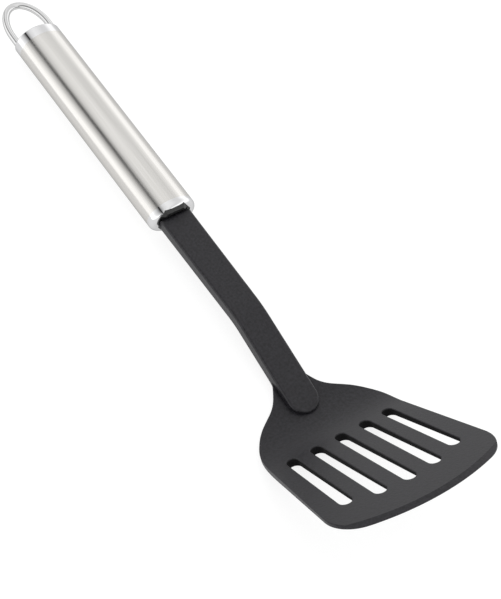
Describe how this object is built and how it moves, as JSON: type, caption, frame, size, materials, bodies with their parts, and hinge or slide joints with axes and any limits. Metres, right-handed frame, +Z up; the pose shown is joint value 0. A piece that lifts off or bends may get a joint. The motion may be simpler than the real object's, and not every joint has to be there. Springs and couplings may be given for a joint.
{
  "type": "slotted spatula",
  "caption": "Slotted spatula with an angled nylon blade, a cranked nylon stem lapped over it, and an oval steel handle with a wire hanging loop.",
  "frame": {"origin": "bottom centre of the whole spatula, on the table it lies on", "axes": "+Y along the handle toward the hanging loop (the handle lies 0.74 degrees down toward it), +X across the blade, +Z up; the blade's food side faces up and back toward the handle"},
  "size_m": [0.0768, 0.323, 0.0486],
  "materials": {
    "nylon": "fine satin grain",
    "collar_plastic": "satin",
    "filler_plastic": "plain",
    "brushed_steel": "brushed along the handle",
    "polished_steel": "polished",
    "loop_steel": "polished wire",
    "core_steel": "plain"
  },
  "bodies": {
    "root": {"blade": "nylon", "stem": "nylon", "stem_core": "core_steel", "mouth_collar": "collar_plastic", "front_ferrule": "polished_steel", "handle_tube": "brushed_steel", "core_block": "filler_plastic", "core_pin": "core_steel", "rear_cap": "polished_steel", "hanging_loop": "loop_steel"}
  },
  "joints": []
}
